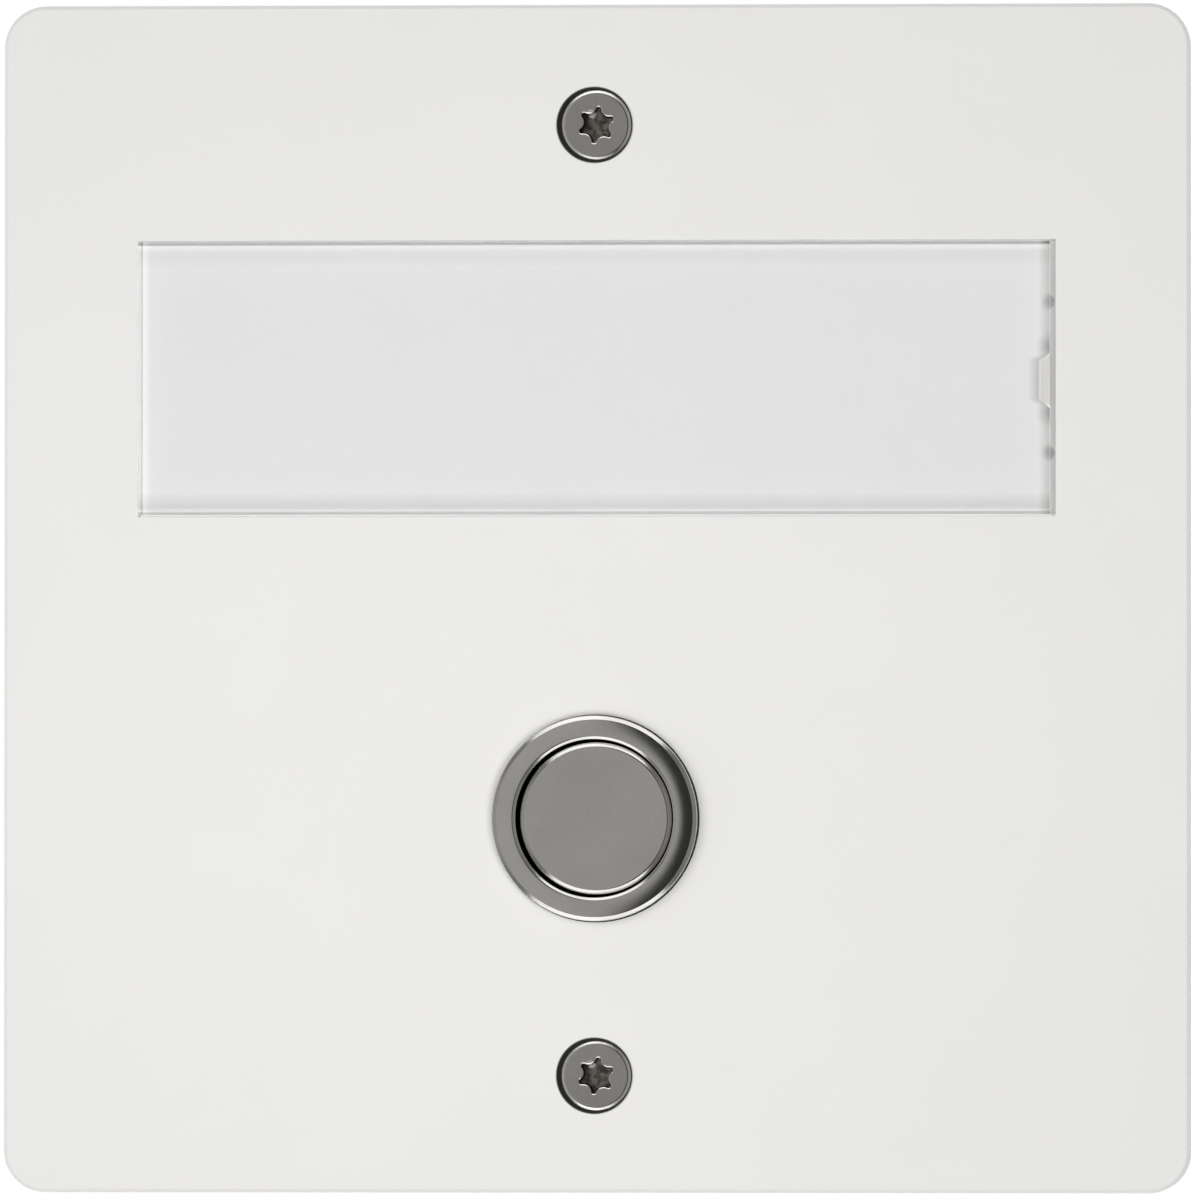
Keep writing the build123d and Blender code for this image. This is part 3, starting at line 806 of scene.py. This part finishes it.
def on_thread(place, angle, pitch, depth):
    """Radius and normal of a point on a right-hand thread with round crests and roots."""
    wave = math.tau * (place.y / pitch - angle / math.tau)
    radius = place.x - depth * (1 - math.cos(wave)) / 2
    return radius, Vector((1, math.pi * depth / pitch * math.sin(wave))).normalized()


def circle_rings(points, axis, angles):
    """Rings of an outline turned about a front-to-back axis at (x, z), threaded where it says so."""
    rings = []
    for place, normal, *thread in points:
        ring = []
        for angle in angles:
            radius, lean = on_thread(place, angle, *thread) if thread else (place.x, normal)
            cos, sin = math.cos(angle), math.sin(angle)
            at = (axis[0] + radius * cos, -place.y, axis[1] + radius * sin)
            ring.append((at, (lean.x * cos, -lean.y, lean.x * sin)))
        rings.append(ring)
    return rings


def ring_mesh(name, rings, closed=False, ends=()):
    """Join rings of (place, normal) points into one smooth mesh; ends are the two middle points."""
    count = len(rings[0])
    points = [point for ring in rings for point in ring]
    faces = []
    for index in range(len(rings) if closed else len(rings) - 1):
        first = index * count
        second = (index + 1) % len(rings) * count
        for step in range(count):
            after = (step + 1) % count
            faces.append((first + step, first + after, second + after, second + step))
    for end, first in zip(ends, (0, (len(rings) - 1) * count)):
        middle = len(points)
        points.append(end)
        for step in range(count):
            after = (step + 1) % count
            edge = (first + step, first + after)
            faces.append((middle, *(edge if first else reversed(edge))))
    mesh = bpy.data.meshes.new(name)
    mesh.from_pydata([Vector(place) * MM for place, normal in points], [], faces)
    normals = [Vector(normal) for place, normal in points]
    agreement = sum(polygon.normal.dot(normals[polygon.vertices[0]]) for polygon in mesh.polygons)
    if agreement < 0:
        mesh.flip_normals()
    mesh.shade_smooth()
    mesh.normals_split_custom_set_from_vertices(normals)
    return mesh


# Push button

turn_angles = [math.tau * step / turn_segments for step in range(turn_segments)]


def bevel_drop(width, slope=bevel_slope):
    """How far a polished bevel of this width falls."""
    return width * math.tan(math.radians(slope))


def button_bezel():
    """Turned collar with a crowned face, and its barrel behind."""
    top = front_of("button_bezel")
    outer = half_width("button_bezel")
    end = back_of("button_bezel")
    crown_start = pocket_radius + ring_bevel
    crown_end = outer - flange_bevel
    crown_middle = (crown_start + crown_end) / 2
    corners = [
        (pocket_radius, top - bevel_drop(ring_bevel), edge_break),
        (crown_start, top, edge_break),
        (crown_middle, top, crown_middle - crown_start - 2 * edge_break),
        (crown_end, top - ring_fall, edge_break),
        (outer, top - ring_fall - bevel_drop(flange_bevel), edge_break),
        (outer, flange_back, edge_break),
        (barrel_radius, flange_back, edge_break),
        (barrel_radius, end, edge_break),
        (rear_radius, end, edge_break),
        (rear_radius, guide_back, edge_break),
        (guide_radius, guide_back, edge_break),
        (guide_radius, guide_front, edge_break),
        (spring_pocket_radius, guide_front, edge_break),
        (spring_pocket_radius, pocket_floor, edge_break),
        (pocket_radius, pocket_floor, edge_break),
    ]
    thread = (barrel_thread_start, end + barrel_thread_pitch / 2, barrel_thread_pitch, barrel_thread_depth)
    outline = with_thread(rounded(corners, True), barrel_radius, *thread)
    rings = circle_rings(outline, axis_of("button_bezel"), turn_angles)
    add_piece("bezel_turned", ring_mesh("bezel_turned", rings, closed=True), "button_bezel")


def button_cap():
    """Turned push cap, its head a little to one side in the collar, and its stem."""
    front = front_of("button_cap")
    outer = half_width("button_cap")
    end = back_of("button_cap")
    axis = axis_of("button_cap")
    corners = [
        (outer / 2, front, edge_break),
        (outer - cap_bevel, front, edge_break),
        (outer, front - bevel_drop(cap_bevel), edge_break),
        (outer, cap_back, edge_break),
        (stem_radius, cap_back, edge_break),
        (stem_radius, guide_back, edge_break),
        (groove_radius, guide_back, edge_break),
        (groove_radius, clip_back, edge_break),
        (stem_radius, clip_back, edge_break),
        (stem_radius, stem_step, edge_break),
        (tenon_radius, stem_step, edge_break),
        (tenon_radius, end, edge_break),
        (tenon_radius / 2, end, edge_break),
    ]
    outline = rounded(corners, False)
    head = [point for point in outline if point[0].y > cap_back + hair]
    head_x = axis[0] + cap_shift
    rings = circle_rings(head, (head_x, axis[1]), turn_angles)
    rings += circle_rings(outline[len(head) :], axis, turn_angles)
    ends = [((head_x, -front, axis[1]), (0, -1, 0)), ((axis[0], -end, axis[1]), (0, 1, 0))]
    add_piece("cap_turned", ring_mesh("cap_turned", rings, ends=ends), "button_cap", "button")


# Plate screws


def lobe_contour():
    """The six-lobe outline as ((x, z), outward normal) points: lobe and flute arcs in turn."""
    flute_centre = flute_reach + flute_radius
    half = math.pi / lobe_count
    reach = flute_centre * math.cos(half)
    squares = lobe_radius**2 + flute_centre**2 - flute_radius**2
    tip_radius = (squares - 2 * lobe_radius * reach) / (2 * (flute_radius + lobe_radius - reach))
    tip_centre = lobe_radius - tip_radius
    across = Vector((reach - tip_centre, flute_centre * math.sin(half)))
    tip_half_turn = math.atan2(across.y, across.x)
    flute_half_turn = tip_half_turn - half
    contour = []
    for lobe in range(lobe_count):
        at_lobe = math.radians(lobe_angle) + lobe * 2 * half
        for step in range(arc_points):
            angle = at_lobe + tip_half_turn * (2 * step / arc_points - 1)
            normal = Vector((math.cos(angle), math.sin(angle)))
            middle = Vector((math.cos(at_lobe), math.sin(at_lobe))) * tip_centre
            contour.append((middle + normal * tip_radius, normal))
        at_flute = at_lobe + half
        for step in range(arc_points):
            angle = at_flute + math.pi + flute_half_turn * (1 - 2 * step / arc_points)
            outward = Vector((math.cos(angle), math.sin(angle)))
            middle = Vector((math.cos(at_flute), math.sin(at_flute))) * flute_centre
            contour.append((middle + outward * flute_radius, -outward))
    return contour


def screw_mesh_rings(axis_z):
    """Rings of one screw, from the middle of its recess out over the head and down to the tip."""
    top = front_of("plate_screws")
    tip = back_of("plate_screws")
    head_radius = half_width("plate_screws")
    floor = top - lobe_depth
    contour = lobe_contour()

    def lobe_ring(grow, height, slope):
        ring = []
        for place, normal in contour:
            at = place + normal * grow
            wall = -normal * math.cos(slope)
            ring.append(((at.x, -height, axis_z + at.y), (wall.x, -math.sin(slope), wall.y)))
        return ring

    level = math.pi / 2
    tilt = level - math.radians(lobe_lip_slope)
    lip_foot = top - bevel_drop(lobe_lip, lobe_lip_slope)
    rings = [
        lobe_ring(-lobe_lip - lobe_taper, floor, level),
        lobe_ring(-lobe_lip - lobe_taper + hair, floor + hair, 0),
        lobe_ring(-lobe_lip - hair, lip_foot - hair, 0),
        lobe_ring(-lobe_lip, lip_foot, tilt),
        lobe_ring(-hair, top - bevel_drop(hair, lobe_lip_slope), tilt),
        lobe_ring(0, top, level),
    ]
    head_edge = top - bevel_drop(screw_bevel, screw_bevel_slope)
    seat = head_edge - 2 * edge_break
    neck = seat - (head_radius - screw_radius)
    corners = [
        (head_radius - 2 * screw_bevel, top, edge_break),
        (head_radius - screw_bevel, top, edge_break),
        (head_radius, head_edge, edge_break),
        (head_radius, seat, edge_break / 2),
        (screw_radius, neck, edge_break),
        (screw_radius, tip + screw_tip_chamfer, edge_break),
        (screw_radius - screw_tip_chamfer, tip, edge_break),
        (screw_radius / 2, tip, edge_break),
    ]
    thread_end = tip + screw_tip_chamfer + 2 * edge_break
    thread = (neck - screw_thread_pitch, thread_end, screw_thread_pitch, screw_thread_depth)
    outline = with_thread(rounded(corners, False), screw_radius, *thread)
    angles = [math.atan2(place.y, place.x) for place, normal in contour]
    rings += circle_rings(outline, (0, axis_z), angles)
    ends = [((0, lobe_floor_drop - floor, axis_z), (0, -1, 0)), ((0, -tip, axis_z), (0, 1, 0))]
    return rings, ends


def joined(name, meshes):
    """One mesh from several, keeping their normals."""
    pieces = [bpy.data.objects.new(name, mesh) for mesh in meshes]
    for piece in pieces:
        bpy.context.scene.collection.objects.link(piece)
    with bpy.context.temp_override(active_object=pieces[0], selected_editable_objects=pieces):
        bpy.ops.object.join()
    mesh = pieces[0].data
    bpy.data.objects.remove(pieces[0])
    return mesh


def plate_screws():
    """The two countersunk screws that hold the plate, as one piece."""
    meshes = []
    for axis_z in screw_heights():
        rings, ends = screw_mesh_rings(axis_z)
        meshes.append(ring_mesh("plate_screws_turned", rings, ends=ends))
    add_piece("plate_screws_turned", joined("plate_screws_turned", meshes), "plate_screws")


# Geometry nodes: a return spring and a toothed lock washer


def new_geometry_group(name, inputs):
    """An empty geometry group with the given inputs, a place and a material."""
    group = bpy.data.node_groups.new(name, "GeometryNodeTree")
    for socket, kind in (*inputs, ("Base", "Vector"), ("Material", "Material")):
        group.interface.new_socket(socket, in_out="INPUT", socket_type="NodeSocket" + kind)
    group.interface.new_socket("Geometry", in_out="OUTPUT", socket_type="NodeSocketGeometry")
    tree = Tree(group)
    return tree, tree.add("NodeGroupInput").outputs


def end_geometry_group(tree, start, shape):
    """Turn a shape's axis from Z to -Y, move it to its place and give it its material."""
    placed = tree.add("GeometryNodeTransform")
    tree.put(placed.inputs["Geometry"], shape)
    tree.put(placed.inputs["Translation"], start["Base"])
    tree.put(placed.inputs["Rotation"], (math.pi / 2, 0, 0))
    real = tree.add("GeometryNodeRealizeInstances")
    tree.put(real.inputs[0], placed.outputs[0])
    painted = tree.add("GeometryNodeSetMaterial")
    tree.put(painted.inputs["Geometry"], real.outputs[0])
    tree.put(painted.inputs["Material"], start["Material"])
    tree.put(tree.add("NodeGroupOutput").inputs["Geometry"], painted.outputs[0])
    return tree.tree


def coil_nodes():
    """Geometry nodes for a coil spring with squeezed ends."""
    names = ("Turns", "Radius", "Height", "Wire", "Squeeze")
    tree, start = new_geometry_group("Coil spring", [(name, "Float") for name in names])
    spiral = tree.add("GeometryNodeCurveSpiral")
    tree.put(spiral.inputs["Resolution"], spring_turn_steps)
    tree.put(spiral.inputs["Rotations"], start["Turns"])
    tree.put(spiral.inputs["Start Radius"], start["Radius"])
    tree.put(spiral.inputs["End Radius"], start["Radius"])
    tree.put(spiral.inputs["Height"], start["Height"])
    along = tree.add("GeometryNodeSplineParameter").outputs["Factor"]
    wave = tree.maths("SINE", tree.maths("MULTIPLY", along, math.tau))
    shift = tree.maths("MULTIPLY", wave, tree.maths("MULTIPLY", start["Squeeze"], -1 / math.tau))
    offset = tree.add("ShaderNodeCombineXYZ")
    tree.put(offset.inputs["Z"], tree.maths("MULTIPLY", shift, start["Height"]))
    squeezed = tree.add("GeometryNodeSetPosition")
    tree.put(squeezed.inputs["Geometry"], spiral.outputs[0])
    tree.put(squeezed.inputs["Offset"], offset.outputs[0])
    section = tree.add("GeometryNodeCurvePrimitiveCircle")
    tree.put(section.inputs["Resolution"], wire_sides)
    tree.put(section.inputs["Radius"], tree.maths("MULTIPLY", start["Wire"], 0.5))
    wire = tree.add("GeometryNodeCurveToMesh")
    tree.put(wire.inputs["Curve"], squeezed.outputs[0])
    tree.put(wire.inputs["Profile Curve"], section.outputs[0])
    tree.put(wire.inputs["Fill Caps"], True)
    return end_geometry_group(tree, start, wire.outputs[0])


def washer_nodes():
    """Geometry nodes for a flat ring with twisted teeth around its rim."""
    names = ("Bore", "Body", "Outer", "Sheet", "Width", "Root", "Twist")
    inputs = [("Teeth", "Int")] + [(name, "Float") for name in names]
    tree, start = new_geometry_group("Toothed washer", inputs)
    path = tree.add("GeometryNodeCurvePrimitiveCircle")
    tree.put(path.inputs["Resolution"], washer_steps)
    middle = tree.maths("MULTIPLY", tree.maths("ADD", start["Bore"], start["Body"]), 0.5)
    tree.put(path.inputs["Radius"], middle)
    section = tree.add("GeometryNodeCurvePrimitiveQuadrilateral")
    tree.put(section.inputs["Width"], tree.maths("SUBTRACT", start["Body"], start["Bore"]))
    tree.put(section.inputs["Height"], start["Sheet"])
    ring = tree.add("GeometryNodeCurveToMesh")
    tree.put(ring.inputs["Curve"], path.outputs[0])
    tree.put(ring.inputs["Profile Curve"], section.outputs[0])
    foot = tree.maths("SUBTRACT", start["Body"], start["Root"])
    size = tree.add("ShaderNodeCombineXYZ")
    tree.put(size.inputs["X"], tree.maths("SUBTRACT", start["Outer"], foot))
    tree.put(size.inputs["Y"], start["Width"])
    tree.put(size.inputs["Z"], start["Sheet"])
    tooth = tree.add("GeometryNodeMeshCube")
    tree.put(tooth.inputs["Size"], size.outputs[0])
    twist = tree.add("ShaderNodeCombineXYZ")
    tree.put(twist.inputs["X"], start["Twist"])
    twisted = tree.add("GeometryNodeTransform")
    tree.put(twisted.inputs["Geometry"], tooth.outputs["Mesh"])
    tree.put(twisted.inputs["Rotation"], twist.outputs[0])
    places = tree.add("GeometryNodeMeshCircle")
    tree.put(places.inputs["Vertices"], start["Teeth"])
    tree.put(places.inputs["Radius"], tree.maths("MULTIPLY", tree.maths("ADD", start["Outer"], foot), 0.5))
    outward = tree.add("FunctionNodeAlignRotationToVector", axis="X", pivot_axis="Z")
    tree.put(outward.inputs["Vector"], tree.add("GeometryNodeInputPosition").outputs[0])
    teeth = tree.add("GeometryNodeInstanceOnPoints")
    tree.put(teeth.inputs["Points"], places.outputs[0])
    tree.put(teeth.inputs["Instance"], twisted.outputs[0])
    tree.put(teeth.inputs["Rotation"], outward.outputs[0])
    apart = tree.add("GeometryNodeRealizeInstances")
    tree.put(apart.inputs[0], teeth.outputs[0])
    whole = tree.add("GeometryNodeMeshBoolean", operation="UNION")
    tree.put(whole.inputs["Mesh 2"], ring.outputs[0])
    tree.put(whole.inputs["Mesh 2"], apart.outputs[0])
    return end_geometry_group(tree, start, whole.outputs["Mesh"])


def made_by_nodes(name, group, values):
    """Run geometry nodes with named inputs and return the plain mesh that they make."""
    carrier = bpy.data.objects.new(name, bpy.data.meshes.new(name))
    bpy.context.scene.collection.objects.link(carrier)
    modifier = carrier.modifiers.new(name, "NODES")
    modifier.node_group = group
    for item in group.interface.items_tree:
        if item.in_out == "INPUT" and item.name in values:
            modifier[item.identifier] = values[item.name]
    carrier.update_tag()
    graph = bpy.context.evaluated_depsgraph_get()
    mesh = bpy.data.meshes.new_from_object(carrier.evaluated_get(graph))
    carrier.modifiers.clear()
    bpy.data.objects.remove(carrier)
    return mesh


def return_spring():
    """A coil spring between the guide and the cap."""
    axis = axis_of("button_cap")
    inset = spring_end_gap + spring_wire / 2
    values = {
        "Turns": spring_turns,
        "Radius": spring_path_radius * MM,
        "Height": (cap_back - guide_front - 2 * inset) * MM,
        "Wire": spring_wire * MM,
        "Squeeze": spring_end_squeeze,
        "Base": Vector((axis[0], -guide_front - inset, axis[1])) * MM,
        "Material": materials["spring_steel"],
    }
    mesh = made_by_nodes("return_spring_coil", coil_nodes(), values)
    mesh.shade_smooth()
    spring = add_piece("return_spring_coil", mesh, "return_spring")
    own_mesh(spring)


def lock_washer():
    """A washer under the nut, with teeth that bite."""
    axis = axis_of("lock_washer")
    middle = (front_of("lock_washer") + back_of("lock_washer")) / 2
    values = {
        "Teeth": washer_teeth,
        "Bore": washer_bore * MM,
        "Body": washer_body * MM,
        "Outer": (half_width("lock_washer") - tooth_end_gap) * MM,
        "Sheet": washer_sheet * MM,
        "Width": tooth_width * MM,
        "Root": tooth_root * MM,
        "Twist": math.radians(tooth_twist),
        "Base": Vector((axis[0], -middle, axis[1])) * MM,
        "Material": materials["plated_steel"],
    }
    mesh = made_by_nodes("lock_washer_toothed", washer_nodes(), values)
    mesh.shade_flat()
    add_piece("lock_washer_toothed", mesh, "lock_washer")


# Edge-broken copies of plain CAD pieces


def softened(node, width, body):
    """A copy of a CAD node with its sharp edges rounded over by a small width."""
    plain_mesh = nodes[node].data
    name = node + "_soft"
    places = [vertex.co for vertex in plain_mesh.vertices]
    faces = [tuple(face.vertices) for face in plain_mesh.polygons]
    mesh = bpy.data.meshes.new(name)
    mesh.from_pydata(places, [], faces)
    work = bmesh.new()
    work.from_mesh(mesh)
    bmesh.ops.remove_doubles(work, verts=work.verts, dist=weld_distance * MM)
    flat = math.radians(flat_angle)
    bmesh.ops.dissolve_limit(work, angle_limit=flat, verts=work.verts, edges=work.edges)
    sharp = math.radians(sharp_angle)
    edges = [edge for edge in work.edges if edge.is_manifold and edge.calc_face_angle() > sharp]
    shape = {"segments": soft_steps, "profile": 0.5, "affect": "EDGES", "clamp_overlap": True}
    bmesh.ops.bevel(work, geom=edges, offset=width * MM, **shape)
    work.to_mesh(mesh)
    work.free()
    mesh.shade_smooth()
    piece = add_piece(name, mesh, node, body)
    smooth = piece.modifiers.new("smooth", "WEIGHTED_NORMAL")
    smooth.keep_sharp = True
    return piece


def eased_left(piece, ease):
    """Move the left edge of the insert or its card out, so that only a hairline shows beside it."""
    left = min(vertex.co.x for vertex in piece.data.vertices)
    for vertex in piece.data.vertices:
        if vertex.co.x < left + ease * MM:
            vertex.co.x -= ease * MM


button_bezel()
button_cap()
plate_screws()
return_spring()
lock_washer()
for node, width in SOFT_EDGES.items():
    body = "button" if node == "contact_carrier" else "housing"
    piece = softened(node, width, body)
    if node in LEFT_EASE:
        eased_left(piece, LEFT_EASE[node])

for name, node in nodes.items():
    node.data.materials.clear()
    node.data.materials.append(materials[slot_of[name]])


# Stage, light and camera


def floor():
    """A pale floor well below the plate, clear from underneath, which takes no part in the light."""
    half = floor_half_width * MM
    level = -floor_drop * MM
    corners = [(-half, -half, level), (half, -half, level), (half, half, level), (-half, half, level)]
    mesh = bpy.data.meshes.new("floor")
    mesh.from_pydata(corners, [], [(0, 1, 2, 3)])
    material, tree, shader = new_material("floor")
    tree.put(shader.inputs["Base Color"], floor_pale)
    tree.put(shader.inputs["Roughness"], floor_roughness)
    tree.put(shader.inputs["Emission Color"], pure_white)
    tree.put(shader.inputs["Emission Strength"], floor_glow)
    underneath = tree.add("ShaderNodeNewGeometry").outputs["Backfacing"]
    clear = tree.add("ShaderNodeBsdfTransparent").outputs[0]
    tree.finish(tree.mixed(underneath, shader.outputs[0], clear))
    mesh.materials.append(material)
    plane = bpy.data.objects.new("floor", mesh)
    bpy.context.scene.collection.objects.link(plane)
    plane.visible_diffuse = False
    plane.visible_glossy = False
    plane.visible_transmission = False
    plane.visible_shadow = False


def add_lamp(lamp):
    """An oval lamp that faces the middle of the plate, seen in polished metal only or never there."""
    light = bpy.data.lights.new(lamp.name, "AREA")
    light.shape = "ELLIPSE"
    light.size, light.size_y = lamp.size
    light.energy = lamp.power
    box = bpy.data.objects.new(lamp.name, light)
    bpy.context.scene.collection.objects.link(box)
    box.location = lamp.place
    box.rotation_mode = "QUATERNION"
    box.rotation_quaternion = (-Vector(lamp.place)).to_track_quat("-Z", "Y")
    box.visible_camera = False
    box.visible_diffuse = not lamp.mirrored
    box.visible_glossy = lamp.mirrored
    box.visible_transmission = lamp.mirrored


def studio_world():
    """A white backdrop behind the plate, and before it a grey room with a dark side on the right."""
    world = bpy.data.worlds.new("studio")
    bpy.context.scene.world = world
    world.use_nodes = True
    tree = Tree(world.node_tree)
    way = tree.parts(tree.add("ShaderNodeTexCoord").outputs["Generated"])
    ahead = tree.maths("MAXIMUM", tree.maths("MULTIPLY", way["Y"], -1.0), slope_limit)
    across = tree.maths("DIVIDE", way["X"], ahead)
    height = tree.maths("DIVIDE", tree.maths("ABSOLUTE", way["Z"]), ahead)
    dark = tree.ramp(across, *dark_side)
    level = tree.maths("MULTIPLY_ADD", dark, room_dark - room_light, room_light)
    level = tree.maths("ADD", level, tree.ramp(across, *lit_side, 0.0, lit_side_gain))
    level = tree.maths("ADD", level, tree.ramp(across, *left_side, -left_side_loss, 0.0))
    level = tree.maths("MULTIPLY", level, tree.ramp(height, *above_and_below, 1.0, above_and_below_share))
    behind = tree.ramp(way["Y"], *backdrop_edge)
    level = tree.maths("MULTIPLY_ADD", behind, backdrop_light, level)
    beside = tree.ramp(tree.maths("ABSOLUTE", way["Y"]), *rim_light_edge, 1.0, 0.0)
    rim = tree.maths("MULTIPLY_ADD", dark, rim_light_dark - rim_light, rim_light)
    level = tree.maths("MULTIPLY_ADD", beside, rim, level)
    ray = tree.add("ShaderNodeLightPath").outputs
    mirrored = tree.maths("MAXIMUM", ray["Is Glossy Ray"], ray["Is Transmission Ray"])
    seen = tree.maths("MAXIMUM", ray["Is Camera Ray"], tree.maths("MULTIPLY", mirrored, behind))
    light = tree.add("ShaderNodeBackground")
    tree.put(light.inputs["Color"], tree.blend(seen, level, pure_white))
    tree.put(tree.add("ShaderNodeOutputWorld").inputs["Surface"], light.outputs[0])


def camera():
    """A long lens, almost straight in front of the plate."""
    azimuth = math.radians(camera_azimuth)
    elevation = math.radians(camera_elevation)
    level = math.cos(elevation)
    back = Vector((math.sin(azimuth) * level, -math.cos(azimuth) * level, math.sin(elevation)))
    lens = bpy.data.cameras.new("camera")
    lens.lens = camera_lens
    lens.sensor_width = camera_sensor
    lens.clip_start = camera_near * MM
    lens.clip_end = camera_far * MM
    eye = bpy.data.objects.new("camera", lens)
    bpy.context.scene.collection.objects.link(eye)
    eye.location = (camera_aim + back * camera_distance) * MM
    eye.rotation_mode = "QUATERNION"
    roll = Quaternion((0, 0, 1), math.radians(camera_roll))
    eye.rotation_quaternion = (-back).to_track_quat("-Z", "Y") @ roll
    bpy.context.scene.camera = eye


floor()
for lamp in LAMPS:
    add_lamp(lamp)
studio_world()
camera()
bpy.context.scene.view_settings.view_transform = "Standard"
